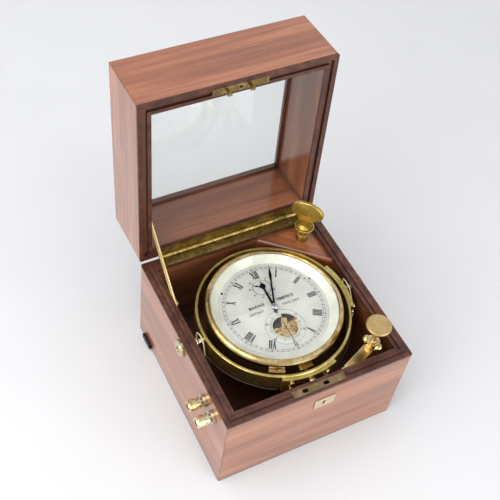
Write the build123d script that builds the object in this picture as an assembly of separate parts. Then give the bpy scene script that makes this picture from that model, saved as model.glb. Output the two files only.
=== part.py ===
from build123d import *
import os
from math import atan2, cos, degrees, hypot, pi, radians, sin, sqrt

# Box marine chronometer with its lid open. Millimetres, +Z up, front is -Y.
# Origin: centre of the case's underside.

# ---- case and lid ----
HALF = 92.0                 # half of the case's outer width and depth
WALL = 12.0
INNER = HALF - WALL
BASE_T = 9.0
RIM_Z = 102.5               # top of the case's walls
JOINT_GAP = 1.0             # between the two rims when shut
LID_Z = RIM_Z + JOINT_GAP
LID_H = 61.5
LID_TOP = LID_Z + LID_H
EDGE_R = 1.4                # worn outer edges
BEAD_OUT = 87.0             # dust bead on the rim, outer and inner lines
BEAD_IN = 84.0
BEAD_H = 1.5
BEAD_CLEAR = 0.4
PANE_T = 3.0
PANE_HALF = INNER + 3.0
BEADING = 3.0

# ---- lid hinge ----
HINGE_Y = HALF + 1.0
HINGE_Z = RIM_Z + JOINT_GAP / 2
LID_OPEN_DEG = 93.3
LEAF_HALF = 73.0
LEAF_IN = 81.0
LEAF_T = 1.5
KNUCKLES = 11
KNUCKLE_R = 2.9
HINGE_PIN_R = 1.2
RUN = 0.05                  # running clearance on a radius

# ---- lid stay: |guide pin to hinge| = |pivot to hinge|, so it turns half as fast as the lid ----
STAY_REACH = 84.0
STAY_RUN = (16.8, 19.7)      # foot of the perpendicular from the hinge, inwards and upwards
STAY_FOOT_Y = HINGE_Y - STAY_RUN[0]
STAY_FOOT_Z = HINGE_Z + STAY_RUN[1]
STAY_SLOPE = atan2(STAY_RUN[1], STAY_RUN[0])
STAY_DIR = (sin(STAY_SLOPE), cos(STAY_SLOPE))
STAY_W = 7.0
STAY_T = 1.5
STAY_X = -INNER + 0.6
PIN_R = 1.6

# ---- gimbal ----
GIMBAL_Z = 92.5
RING_IN = 69.0
RING_OUT = 71.7
RING_H = 19.0
PLATE_OUT = 75.0
PIVOT_R = 2.5

# ---- bowl ----
BOWL_R = 59.0
BOWL_T = 2.0
BOWL_FLOOR = GIMBAL_Z - 48.0
BOWL_CORNER = 24.0
BOWL_TOP = 101.0
BEZEL_OUT = 63.4
BEZEL_OPEN = 58.5
BEZEL_TOP = 110.0
GLASS_Z = 107.8
GLASS_T = 1.4

# ---- dial and movement ----
DIAL_R = 50.8
DIAL_Z = 101.3
DIAL_T = 1.5
DIAL_TOP = DIAL_Z + DIAL_T
SECONDS_Y = -22.0
APERTURE_R = 11.7
NOTCH_R = 15.0               # the aperture's wider part, towards the upper right
NOTCH = (47.0, 33.0)         # its middle direction and half width, degrees
RESERVE_Y = 25.0
MOVEMENT_R = 50.0
PILLAR_PLATE_Z = 96.0
RECESS = 1.0                 # floor of the recess under the aperture, above the plate's underside
BACK_PLATE_Z = 66.0
BACK_PLATE_T = 2.5
PILLAR_R = 2.8
PILLAR_PCR = 44.0
PILLAR_ANGLES = (75, 180, 270, 350)
ARBOR_R = 1.3
PIVOT_END_R = 0.8
PIVOT_HOLE_R = 0.9

GREAT_TEETH = 98
CENTRE_PINION = 14
CENTRE_TEETH = 90
THIRD_PINION = 12
THIRD_TEETH = 80
FOURTH_PINION = 10
FOURTH_TEETH = 80
ESCAPE_PINION = 10
ESCAPE_TEETH = 15
MODULE = 0.45
FINE_MODULE = 0.40

FUSEE_TURN = 125.0          # direction of the fusee from the centre, degrees
ESCAPE_TURN = 195.0         # direction of the escape arbor from the fourth, degrees
BARREL_AT = (26.0, 15.0)
BARREL_R = 16.0
MINUTE_CW = 21.0            # minute hand, clockwise of twelve
HOUR_CW = MINUTE_CW / 12
SECONDS_CW = 180.0
RESERVE_CW = -60.0          # up-and-down hand

# ---- key ----
KEY_AT = (66.6, 66.8)
BLOCK_TOP = 98.0
BLOCK_BOTTOM = 46.0
KEY_R = 5.2
KEY_BORE_R = 2.4
KEY_FOOT_Z = 103.0          # where the pipe necks in to the ribbed stem
KEY_HEAD_Z = 136.4
KEY_HEAD_HALF = 15.9
KEY_HEAD_TALL = 11.3
KEY_CUP_Z = 116.0           # top of the key's ratchet cup
KEY_CUP_R = 9.2
KEY_STEM_R = 4.5
KEY_HEAD_TURN = -50.7

# ---- gimbal lock ----
LOCK_AT = (65.4, -66.6)
LOCK_BOSS_Z = 104.0
LOBE_R = 4.6
THUMB_Z = 130.0
THUMB_R = 11.3
STRIP_TURN = 23.0
STRIP_Z = 96.0

# ---- lock ----
SELVEDGE_X = (-27.0, 25.0)
SELVEDGE_Y = (-89.5, -83.0)
HOOKS = (-15.0, 6.0)
ESCUTCHEON = (5.0, 80.0)
ESCUTCHEON_W = 21.0
ESCUTCHEON_H = 13.5

# ---- terminals and pivots in the left wall ----
TERMINAL_Y = (-68.0, -51.0)
TERMINAL_Z = 82.5
POST_R = 3.0
SOCKET_R = 2.05             # takes a 4 mm plug
SOCKET_DEPTH = 10.0
LEAD_R = 0.6

parts = {}


def box(x0, x1, y0, y1, z0, z1):
    """A block between two corners."""
    middle = Pos((x0 + x1) / 2, (y0 + y1) / 2, (z0 + z1) / 2)
    return middle * Box(x1 - x0, y1 - y0, z1 - z0)


def post(x, y, z0, z1, r):
    """An upright cylinder."""
    return Pos(x, y, (z0 + z1) / 2) * Cylinder(r, z1 - z0)


def rod(start, end, r):
    """A cylinder between two points."""
    way = Vector(*end) - Vector(*start)
    return Plane(origin=start, z_dir=way) * Pos(0, 0, way.length / 2) * Cylinder(r, way.length)


def tube(x, y, z0, z1, r_in, r_out):
    return post(x, y, z0, z1, r_out) - post(x, y, z0 - 1, z1 + 1, r_in)


def turned(points, about=(0, 0, 0)):
    """A solid of revolution about an upright axis from radius and height points."""
    outline = Polyline(*points, close=True)
    return Pos(*about) * revolve(Plane.XZ * make_face(outline), Axis.Z)


def prism(points, z0, z1):
    return Pos(0, 0, z0) * extrude(make_face(Polyline(*points, close=True)), z1 - z0)


def turned_side(points, x, y, z, side):
    """A turned piece that lies along X; side is -1 for one that sticks out to the left."""
    return Pos(x, y, z) * Rot(0, 90 * side, 0) * turned(points)


def arc_plate(r_in, r_out, z0, z1, middle_deg, half_deg):
    """A curved plate round the Z axis."""
    reach = 2 * r_out
    edges = [radians(middle_deg + half_deg * k) for k in (-1, 1)]
    wedge = [(0, 0)] + [(reach * cos(a), reach * sin(a)) for a in edges]
    return tube(0, 0, z0, z1, r_in, r_out) & prism(wedge, z0 - 1, z1 + 1)


def polar(r, deg):
    return r * cos(radians(deg)), r * sin(radians(deg))


def open_lid(shape):
    """Moves a shape from the shut lid to the open one."""
    hinge = Pos(0, HINGE_Y, HINGE_Z)
    return hinge * Rot(-LID_OPEN_DEG, 0, 0) * Pos(0, -HINGE_Y, -HINGE_Z) * shape


def add(name, *shapes):
    """Collects the solids of one node."""
    solids = [s for shape in shapes for s in shape.solids()]
    parts[name] = solids[0] if len(solids) == 1 else Compound(children=solids)


# ---------------------------------------------------------------- case
def mitred(turn, z0, z1, outer=HALF, inner=INNER):
    """One wall with mitred ends; turn 0 is the front, 90 the right."""
    outline = [(-outer, -outer), (outer, -outer), (inner, -inner), (-inner, -inner)]
    return Rot(0, 0, turn) * prism(outline, z0, z1)


def softened(z0, z1, top=False):
    """The outer envelope of a box with softened edges."""
    block = box(-HALF, HALF, -HALF, HALF, z0, z1)
    edges = block.edges().filter_by(Axis.Z)
    if top:
        edges = edges + block.faces().sort_by(Axis.Z)[-1].edges()
    return fillet(edges, EDGE_R)


def across_x(x0, x1, y, z, r):
    return rod((x0, y, z), (x1, y, z), r)


def make_case():
    envelope = softened(0, RIM_Z + BEAD_H)
    hinge_bed = box(-LEAF_HALF - 0.1, LEAF_HALF + 0.1, LEAF_IN - 0.1, HALF + 1, HINGE_Z - LEAF_T, RIM_Z + 2)
    barrel_bed = across_x(-LEAF_HALF - 0.3, LEAF_HALF + 0.3, HINGE_Y, HINGE_Z, KNUCKLE_R + 0.3)
    selvedge_bed = box(SELVEDGE_X[0], SELVEDGE_X[1], *SELVEDGE_Y, RIM_Z - 2, RIM_Z + 2)
    bead_gap = box(SELVEDGE_X[0] - 1, SELVEDGE_X[1] + 1, -INNER - 8, -INNER - 3, RIM_Z, RIM_Z + 2)
    mortise = box(-25, 23, -89, -83.6, 74, RIM_Z)
    key_x, key_z = ESCUTCHEON[0] - 1, ESCUTCHEON[1] + 1
    key_way = rod((key_x, -HALF - 1, key_z), (key_x, -86, key_z), 1.7)
    for name, turn in (("front", 0), ("right", 90), ("back", 180), ("left", 270)):
        board = mitred(turn, 0, RIM_Z)
        if name != "back":
            board += mitred(turn, RIM_Z - 1, RIM_Z + BEAD_H, BEAD_OUT, BEAD_IN)
        board &= envelope
        board -= box(-INNER - 4, INNER + 4, -INNER - 4, INNER + 4, 2, 2 + BASE_T - 3)
        if name == "front":
            board -= selvedge_bed + bead_gap
            board -= mortise
            board -= key_way
        if name == "back":
            board -= hinge_bed
            board -= barrel_bed
        if name == "left":
            for y in TERMINAL_Y:
                board -= across_x(-HALF - 1, -INNER + 1, y, TERMINAL_Z, POST_R)
            board -= across_x(-HALF - 1, -INNER + 1, 0, GIMBAL_Z, 4.0)
            board -= across_x(-INNER - 7, -INNER + 1, *STAY_GUIDE, PIN_R)
        if name == "right":
            board -= across_x(INNER - 1, HALF + 1, 0, GIMBAL_Z, 4.0)
        add("case_" + name + "_board", board)
    tongue = box(-INNER - 3.9, INNER + 3.9, -INNER - 3.9, INNER + 3.9, 2.05, BASE_T - 1.05)
    floor = box(-INNER + 0.02, INNER - 0.02, -INNER + 0.02, INNER - 0.02, 0, BASE_T)
    add("case_bottom_board", floor + tongue)


def make_key_block():
    block = prism([(23, INNER), (INNER, INNER), (INNER, 30)], BLOCK_BOTTOM, BLOCK_TOP)
    top = block.faces().sort_by(Axis.Z)[-1]
    long_edge = top.edges().sort_by(SortBy.LENGTH)[-1]
    block = fillet(long_edge, 3)
    block -= post(*KEY_AT, BLOCK_BOTTOM + 4, BLOCK_TOP + 1, KEY_R + 0.35)
    add("key_block", block)


def hinge_leaf(own, z0, z1):
    """A leaf with its share of the knuckles, as it lies when the lid is shut."""
    pitch = 2 * LEAF_HALF / KNUCKLES
    leaf = box(-LEAF_HALF, LEAF_HALF, LEAF_IN, HINGE_Y - KNUCKLE_R - 0.5, z0, z1)
    for n in own:
        x0 = -LEAF_HALF + n * pitch + 0.1
        x1 = x0 + pitch - 0.2
        leaf += box(x0, x1, HINGE_Y - KNUCKLE_R - 0.6, HINGE_Y, z0, z1)
        leaf += across_x(x0, x1, HINGE_Y, HINGE_Z, KNUCKLE_R)
    return leaf


def leaf_screws(z_face, way):
    """Countersunk screws along a leaf, heads flush with its face."""
    found = []
    for n in range(5):
        x = -LEAF_HALF + 13 + n * 30
        head = turned([(0, 0), (2.4, 0), (1.1, -1.3), (1.1, -7), (0, -8)])
        if way < 0:
            head = Rot(180, 0, 0) * head
        found.append(Pos(x, LEAF_IN + 4.2, z_face) * head)
    return found


def make_hinge():
    lower = range(0, KNUCKLES, 2)
    upper = range(1, KNUCKLES, 2)
    bore = across_x(-LEAF_HALF - 1, LEAF_HALF + 1, HINGE_Y, HINGE_Z, HINGE_PIN_R)
    lid_bore = across_x(-LEAF_HALF - 1, LEAF_HALF + 1, HINGE_Y, HINGE_Z, HINGE_PIN_R + RUN)
    case_leaf = hinge_leaf(lower, HINGE_Z - LEAF_T, HINGE_Z - 0.03) - bore
    lid_leaf = hinge_leaf(upper, HINGE_Z + 0.03, HINGE_Z + LEAF_T) - lid_bore
    case_heads = leaf_screws(HINGE_Z - 0.03, 1)
    lid_heads = leaf_screws(HINGE_Z + 0.03, -1)
    for head in case_heads:
        case_leaf -= head
        parts["case_back_board"] -= head
    for head in lid_heads:
        lid_leaf -= head
        parts["lid_back_board"] -= open_lid(head)
    add("case_hinge_leaf", case_leaf)
    add("lid_hinge_leaf", open_lid(lid_leaf))
    add("hinge_pin", across_x(-LEAF_HALF - 0.3, LEAF_HALF + 0.3, HINGE_Y, HINGE_Z, HINGE_PIN_R))
    return case_heads, [open_lid(head) for head in lid_heads]


def stay_pin(y, z):
    """A shouldered pin in a wall's inner face, its head over the stay."""
    shank = across_x(-INNER - 7, STAY_X + STAY_T + 0.25, y, z, PIN_R)
    head = across_x(STAY_X + STAY_T + 0.2, STAY_X + STAY_T + 1.6, y, z, 3.4)
    return shank + head


def make_lock():
    x0, x1 = SELVEDGE_X
    selvedge = box(x0, x1, *SELVEDGE_Y, RIM_Z - 2, RIM_Z)
    shell = box(-25, 23, -89, -83.6, 74, RIM_Z - 1.9)
    cavity = box(-24, 22, -87.9, -84.7, 75, RIM_Z - 2)
    body = selvedge + shell - cavity
    bolt = box(HOOKS[0] - 8.6, HOOKS[1] - 7.2, -87.6, -85.0, 88, 92)
    for hook in HOOKS:
        body -= box(hook - 2.6, hook + 2.6, -88.0, -84.5, RIM_Z - 3, RIM_Z + 1)
    for hook in HOOKS:
        bolt += box(hook - 8.6, hook - 7.2, -87.6, -85.0, 90, 100)
        bolt += box(hook - 8.6, hook - 4.2, -87.6, -85.0, 98, 100)
    x, z = ESCUTCHEON
    body -= rod((x - 1, -90, z + 1), (x - 1, -87, z + 1), 1.7)
    add("lock_body", body)
    add("lock_bolt", bolt)
    plate = box(x - ESCUTCHEON_W / 2, x + ESCUTCHEON_W / 2, -HALF - 0.8, -HALF,
                z - ESCUTCHEON_H / 2, z + ESCUTCHEON_H / 2)
    plate = fillet(plate.edges().filter_by(Axis.Y), 0.8)
    plate -= rod((x - 1, -HALF - 2, z + 1), (x - 1, -HALF + 1, z + 1), 1.7)
    plate -= box(x - 1.7, x - 0.3, -HALF - 2, -HALF + 1, z - 3.2, z + 1)
    add("keyhole_escutcheon", plate)


def make_terminals():
    posts = []
    for n, y in enumerate(TERMINAL_Y):
        outer = -HALF
        shape = across_x(outer - 16, -INNER + 4, y, TERMINAL_Z, POST_R)
        shape += across_x(outer - 3.2, outer, y, TERMINAL_Z, 6.0)
        shape += across_x(-INNER, -INNER + 1.5, y, TERMINAL_Z, 4.5)
        shape -= across_x(outer - 17, outer - 16 + SOCKET_DEPTH, y, TERMINAL_Z, SOCKET_R)
        posts.append(shape)
        bore = POST_R + RUN
        nut = [(bore, 0), (5.4, 0), (5.4, 2.6), (4.9, 3.0), (4.9, 3.5), (5.4, 3.9), (5.4, 10.4),
               (4.4, 11.6), (bore, 11.6)]
        name = ("terminal_nut_front", "terminal_nut_rear")[n]
        add(name, turned_side(nut, outer - 4.9, y, TERMINAL_Z, -1))
    add("terminal_posts", *posts)


def make_case_pivots():
    cap = [(0, -WALL - 10.6), (PIVOT_R, -WALL - 10.6), (PIVOT_R, -WALL - 3), (4, -WALL - 3), (4, 0), (8.3, 0),
           (8.3, 2.2), (6.9, 3.4), (3.0, 3.4), (3.0, 2.6), (0, 2.6)]
    left = turned_side(cap, -HALF, 0, GIMBAL_Z, -1)
    right = turned_side(cap, HALF, 0, GIMBAL_Z, 1)
    add("case_pivot_screws", left, right)


def make_side_lug():
    lug = box(-HALF - 2.6, -HALF, 61, 79, 1.0, 8.0)
    add("side_lug", fillet(lug.edges().filter_by(Axis.X), 3.0))


def make_lock_lever():
    ax, ay = LOCK_AT
    turn = Rot(0, 0, STRIP_TURN)
    strip = turn * box(-36, -5, -4.8, 4.8, STRIP_Z, STRIP_Z + 2.6)
    boss = post(0, 0, STRIP_Z - 1, LOCK_BOSS_Z, 6.4)
    lobe = turn * (Pos(0, -6.2, STRIP_Z + 3.6) * Sphere(LOBE_R) + Pos(0, 6.2, STRIP_Z + 3.6) * Sphere(LOBE_R))
    bracket = Pos(ax, ay, 0) * (strip + boss + lobe)
    foot_x, foot_y = ax - 33 * cos(radians(STRIP_TURN)), -INNER
    bracket &= box(0, 90, -INNER, 0, 0, 150)
    bracket += box(foot_x - 8, foot_x + 6, foot_y, foot_y + 2.6, STRIP_Z - 24, STRIP_Z + 2.6)
    bracket -= post(ax, ay, STRIP_Z - 3, LOCK_BOSS_Z + 2, 3.0 + RUN)
    add("lock_bracket", bracket)
    spindle = turned([(0, STRIP_Z - 4.6), (3.0, STRIP_Z - 4.6), (3.0, LOCK_BOSS_Z), (3.0, LOCK_BOSS_Z + 1),
                      (2.2, LOCK_BOSS_Z + 2), (2.0, THUMB_Z - 5), (3.4, THUMB_Z - 2.8),
                      (THUMB_R - 0.8, THUMB_Z - 2.8), (THUMB_R, THUMB_Z - 2.0), (THUMB_R, THUMB_Z - 0.6),
                      (THUMB_R - 0.6, THUMB_Z), (0, THUMB_Z)])
    arm = turn * box(-19.5, 2, -2.6, 2.6, STRIP_Z - 4.6, STRIP_Z - 1.3)
    arm += post(0, 0, STRIP_Z - 4.6, STRIP_Z - 1.3, 4.6)
    add("gimbal_lock_lever", Pos(ax, ay, 0) * (spindle + arm))


# ---------------------------------------------------------------- lid
def make_lid():
    envelope = softened(LID_Z, LID_TOP, top=True)
    rebate = box(-PANE_HALF, PANE_HALF, -PANE_HALF, PANE_HALF, LID_TOP - BEADING - PANE_T, LID_TOP + 1)
    groove_out, groove_in = BEAD_OUT + BEAD_CLEAR, BEAD_IN - BEAD_CLEAR
    leaf_bed = box(-LEAF_HALF - 0.1, LEAF_HALF + 0.1, LEAF_IN - 0.1, HALF + 1, LID_Z - 1, HINGE_Z + LEAF_T)
    barrel_bed = across_x(-LEAF_HALF - 0.3, LEAF_HALF + 0.3, HINGE_Y, HINGE_Z, KNUCKLE_R + 0.3)
    link_bed = box(*SELVEDGE_X, SELVEDGE_Y[0] + 1, SELVEDGE_Y[1] + 1, LID_Z - 1, LID_Z + 2)
    for name, turn in (("front", 0), ("right", 90), ("back", 180), ("left", 270)):
        board = mitred(turn, LID_Z, LID_TOP) & envelope
        board -= rebate
        if name != "back":
            board -= mitred(turn, LID_Z - 1, LID_Z + BEAD_H + 0.7, groove_out, groove_in)
        if name == "front":
            board -= link_bed
        if name == "back":
            board -= leaf_bed
            board -= barrel_bed
        if name == "left":
            board = open_lid(board) - across_x(-INNER - 7, -INNER + 1, *STAY_PIVOT, PIN_R)
            add("lid_left_board", board)
            continue
        add("lid_" + name + "_board", open_lid(board))
    pane_z = LID_TOP - BEADING - PANE_T
    pane = box(1 - PANE_HALF, PANE_HALF - 1, 1 - PANE_HALF, PANE_HALF - 1, pane_z, pane_z + PANE_T)
    add("lid_glass", open_lid(pane))
    beads = []
    for turn in (0, 90, 180, 270):
        beads.append(mitred(turn, LID_TOP - BEADING, LID_TOP, PANE_HALF, PANE_HALF - BEADING))
        beads.append(mitred(turn, pane_z - BEADING, pane_z, INNER, INNER - BEADING))
    add("lid_glazing_beads", *[open_lid(bead) for bead in beads])


def make_link_plate():
    plate = box(*SELVEDGE_X, SELVEDGE_Y[0] + 1, SELVEDGE_Y[1] + 1, LID_Z, LID_Z + 2)
    for hook in HOOKS:
        plate += box(hook, hook + 2.0, -87.2, -85.4, LID_Z - 8.2, LID_Z + 1)
        plate += box(hook - 2.1, hook + 2.0, -87.2, -85.4, LID_Z - 8.2, LID_Z - 6.4)
    ends = [SELVEDGE_X[0] + 4, SELVEDGE_X[1] - 4]
    heads = []
    for x in ends:
        head = Rot(180, 0, 0) * turned([(0, 0), (2.0, 0), (0.9, -1.1), (0.9, -7), (0, -8)])
        heads.append(Pos(x, (SELVEDGE_Y[0] + SELVEDGE_Y[1]) / 2 + 1, LID_Z) * head)
    middle = post((SELVEDGE_X[0] + SELVEDGE_X[1]) / 2, -85.2, LID_Z - 1, LID_Z + 3, 1.2)
    plate -= middle
    for head in heads:
        plate -= head
        parts["lid_front_board"] -= open_lid(head)
    add("link_plate", open_lid(plate))
    return [open_lid(head) for head in heads]


def make_lid_stay():
    """A slotted strip, drawn along +Y from its pivot and then swung to the guide pin."""
    end = STAY_REACH + PIN_R + 0.3
    start = 13.0
    length = end + 3.5
    strip = box(0, STAY_T, 0, length, -STAY_W / 2, STAY_W / 2)
    strip += Rot(0, 90, 0) * Pos(0, 0, STAY_T / 2) * Cylinder(STAY_W / 2, STAY_T)
    strip -= across_x(-1, STAY_T + 1, 0, 0, PIN_R + RUN)
    half_slot = PIN_R + 0.3
    strip -= box(-1, STAY_T + 1, start, end - half_slot, -half_slot, half_slot)
    strip -= across_x(-1, STAY_T + 1, start, 0, half_slot)
    strip -= across_x(-1, STAY_T + 1, end - half_slot, 0, half_slot)
    dy = STAY_GUIDE[0] - STAY_PIVOT[0]
    dz = STAY_GUIDE[1] - STAY_PIVOT[1]
    swing = degrees(atan2(dz, dy))
    add("lid_stay", Pos(STAY_X, *STAY_PIVOT) * Rot(swing, 0, 0) * strip)


# ---------------------------------------------------------------- key
def make_key():
    x, y = KEY_AT
    top, bore = KEY_CUP_Z, KEY_BORE_R
    foot = KEY_FOOT_Z
    barrel = tube(0, 0, BLOCK_BOTTOM + 6, foot, bore, KEY_R)
    collar = turned([(bore, foot - 0.5), (KEY_R, foot - 0.5), (KEY_R, foot + 1.0), (KEY_STEM_R, foot + 1.4),
                     (KEY_STEM_R, top - 5.4), (KEY_CUP_R - 0.4, top - 1.6),
                     (KEY_CUP_R, top - 1.2), (KEY_CUP_R, top), (KEY_CUP_R - 0.9, top + 0.3),
                     (KEY_CUP_R - 1.4, top), (bore, top)])
    add("key_pipe", Pos(x, y, 0) * (barrel + collar))
    oval = Pos(0, KEY_HEAD_Z, 0) * extrude(Ellipse(KEY_HEAD_HALF, KEY_HEAD_TALL), 1.9, both=True)
    oval = Rot(90, 0, 0) * oval
    oval = chamfer(oval.edges(), 0.5)
    bottom = KEY_HEAD_Z - KEY_HEAD_TALL
    web = turned([(0, top + 0.2), (7.4, top + 0.2), (7.4, top + 1.2), (7.0, bottom - 2), (8.4, bottom + 3),
                  (0, bottom + 3)])
    web &= box(-9, 9, -4.2, 4.2, top, bottom + 4)
    hub = turned([(0, top - 8), (bore - RUN, top - 8), (bore - RUN, top + 0.2), (7.4, top + 0.2),
                  (7.4, top + 1.0), (4.2, top + 3.4), (0, top + 3.4)])
    add("key_head", Pos(x, y, 0) * Rot(0, 0, KEY_HEAD_TURN) * (oval + web + hub))


# ---------------------------------------------------------------- gimbal ring
def make_ring():
    z0, z1 = GIMBAL_Z - RING_H / 2, GIMBAL_Z + RING_H / 2
    ring = tube(0, 0, z0, z1, RING_IN, RING_OUT)
    ring = chamfer(ring.edges().filter_by(GeomType.CIRCLE), 0.5)
    case_bore = rod((-80, 0, GIMBAL_Z), (80, 0, GIMBAL_Z), PIVOT_R + RUN)
    bowl_bore = rod((0, -80, GIMBAL_Z), (0, 80, GIMBAL_Z), PIVOT_R)
    front = arc_plate(RING_OUT, PLATE_OUT, z0 + 1, z1 - 1, -91, 21)
    right = arc_plate(RING_OUT, PLATE_OUT, z0 + 1, z1 - 1, 0, 20)
    screws = []
    for deg, z in ((-105, 96), (-78, 96), (-105, 88), (-78, 88), (-17, 96), (16, 96), (-17, 88), (16, 88)):
        along = [(polar(r, deg) + (z,)) for r in (RING_IN + 0.6, PLATE_OUT, PLATE_OUT + 1.8)]
        shank = rod(along[0], along[1], 1.3)
        screws.append(shank + rod(along[1], along[2], 2.4))
        ring -= shank
        front -= shank
        right -= shank
    ring -= case_bore + bowl_bore
    add("gimbal_ring", ring)
    add("ring_plates", front - bowl_bore, right - case_bore)
    pivots = []
    for side, head in ((-1, PLATE_OUT), (1, RING_OUT)):
        shape = rod((0, side * (BOWL_R + 0.9), GIMBAL_Z), (0, side * (head + 0.1), GIMBAL_Z), PIVOT_R)
        shape += rod((0, side * head, GIMBAL_Z), (0, side * (head + 2.2), GIMBAL_Z), 4.2)
        pivots.append(shape)
    add("ring_screws", *pivots, *screws)


# ---------------------------------------------------------------- bowl
def bowl_profile(r, floor, corner, top):
    """Outline of a round-bottomed bowl, from the axis to the wall and back."""
    z = floor + corner
    x = r - corner
    bend = CenterArc((x, z), corner, -90, 90)
    lines = Line((0, floor), (x, floor)) + bend + Line((r, z), (r, top))
    lines += Line((r, top), (0, top)) + Line((0, top), (0, floor))
    return revolve(Plane.XZ * make_face(lines), Axis.Z)


def make_bowl():
    shell = bowl_profile(BOWL_R, BOWL_FLOOR, BOWL_CORNER, BOWL_TOP)
    for side in (-1, 1):
        boss = box(-7, 7, side * 62 - 3, side * 62 + 3, GIMBAL_Z - 6.5, GIMBAL_Z + 6.0)
        boss += box(-7, 7, side * 56 - 4, side * 56 + 4, GIMBAL_Z - 6.5, GIMBAL_Z + 6.0)
        shell += fillet(boss.edges().filter_by(Axis.Y), 2.0)
    shell -= bowl_profile(BOWL_R - BOWL_T, BOWL_FLOOR + BOWL_T, BOWL_CORNER - BOWL_T, BOWL_TOP + 5)
    shell -= rod((0, -80, GIMBAL_Z), (0, 80, GIMBAL_Z), PIVOT_R + RUN)
    shell -= post(*FUSEE_AT, BOWL_FLOOR - 1, BOWL_FLOOR + BOWL_T + 1, 4.6)
    shell -= post(*SHUTTER_AT, BOWL_FLOOR - 1, BOWL_FLOOR + BOWL_T + 1, 1.2)
    add("bowl_shell", shell)
    lip = [(BOWL_R + 0.02, BOWL_TOP - 2), (61.6, BOWL_TOP - 2), (61.6, 102.6), (62.6, 103.4), (62.6, 104.2),
           (BEZEL_OUT, 105.0), (BEZEL_OUT, 107.0), (62.5, 108.7), (60.8, 109.8), (59.2, BEZEL_TOP),
           (BEZEL_OPEN, 109.7), (BEZEL_OPEN, GLASS_Z + GLASS_T + 0.02), (60.2, GLASS_Z + GLASS_T + 0.02),
           (60.2, GLASS_Z - 0.02), (BOWL_R + 0.02, GLASS_Z - 0.02)]
    add("bezel", turned(lip))
    add("bezel_glass", post(0, 0, GLASS_Z, GLASS_Z + GLASS_T, 60.1))
    slope = [(DIAL_R + 0.1, DIAL_Z), (58.9, DIAL_Z), (58.9, GLASS_Z - 0.1), (58.0, GLASS_Z - 0.1),
             (DIAL_R + 0.1, DIAL_TOP)]
    add("dial_surround", turned(slope))
    shutter = post(*FUSEE_AT, BOWL_FLOOR - 1.4, BOWL_FLOOR - 0.2, 6.2)
    shutter += rod((*FUSEE_AT, BOWL_FLOOR - 0.8), (*SHUTTER_AT, BOWL_FLOOR - 0.8), 0.6)
    fx, fy = FUSEE_AT
    sx, sy = SHUTTER_AT
    along = degrees(atan2(sy - fy, sx - fx))
    reach = hypot(sx - fx, sy - fy)
    shutter += Pos(fx, fy, 0) * Rot(0, 0, along) * box(0, reach, -3, 3, BOWL_FLOOR - 1.4, BOWL_FLOOR - 0.2)
    shutter += post(*SHUTTER_AT, BOWL_FLOOR - 1.4, BOWL_FLOOR - 0.2, 4.0)
    shutter += post(*SHUTTER_AT, BOWL_FLOOR - 1.4, BOWL_FLOOR + BOWL_T - 0.2, 1.15)
    add("winding_shutter", shutter)
    block = arc_plate(61.8, 65.2, 92.5, 98.5, -115, 6.5)
    block += arc_plate(BOWL_R, 62.0, 93.5, 97.5, -115, 4)
    x, y = polar(64, -113)
    block += post(x, y, 98.4, 100.0, 1.8)
    return block


# ---------------------------------------------------------------- movement
def arbor(x, y, z0, z1, r=ARBOR_R):
    """An arbor with thin pivots that run in both plates."""
    middle = post(x, y, z0 + 0.4, z1 - 0.4, r)
    return middle + post(x, y, z0 - 2.0, z1 + 2.0, PIVOT_END_R)


def gear(x, y, z0, z1, teeth, module, phase):
    """A spur gear with slim, straight-flanked teeth; phase is the direction of one tooth."""
    r = teeth * module / 2
    tip, root = r + 0.85 * module, r - 1.25 * module
    pitch = 2 * pi / teeth
    wide, slim = 0.24 * pitch, 0.12 * pitch
    outline = []
    for n in range(teeth):
        a = radians(phase) + n * pitch
        for radius, turn in ((root, -wide), (tip, -slim), (tip, slim), (root, wide)):
            outline.append((radius * cos(a + turn), radius * sin(a + turn)))
    return Pos(x, y, 0) * prism(outline, z0, z1)


def windows(x, y, z0, z1, r_in, r_out, spokes=4, bar=2.0):
    """The space between a wheel's hub, rim and spokes."""
    gap = tube(x, y, z0 - 0.5, z1 + 0.5, r_in, r_out)
    for n in range(spokes):
        spoke = Rot(0, 0, 360 / spokes * n) * box(0, r_out + 2, -bar / 2, bar / 2, z0 - 1, z1 + 1)
        gap -= Pos(x, y, 0) * spoke
    return gap


def bearing(start, end):
    return degrees(atan2(end[1] - start[1], end[0] - start[0]))


def meshed(start, end, teeth):
    """Phase of the second gear of a pair, with a gap towards the first."""
    return bearing(end, start) + 180 / teeth


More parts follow.
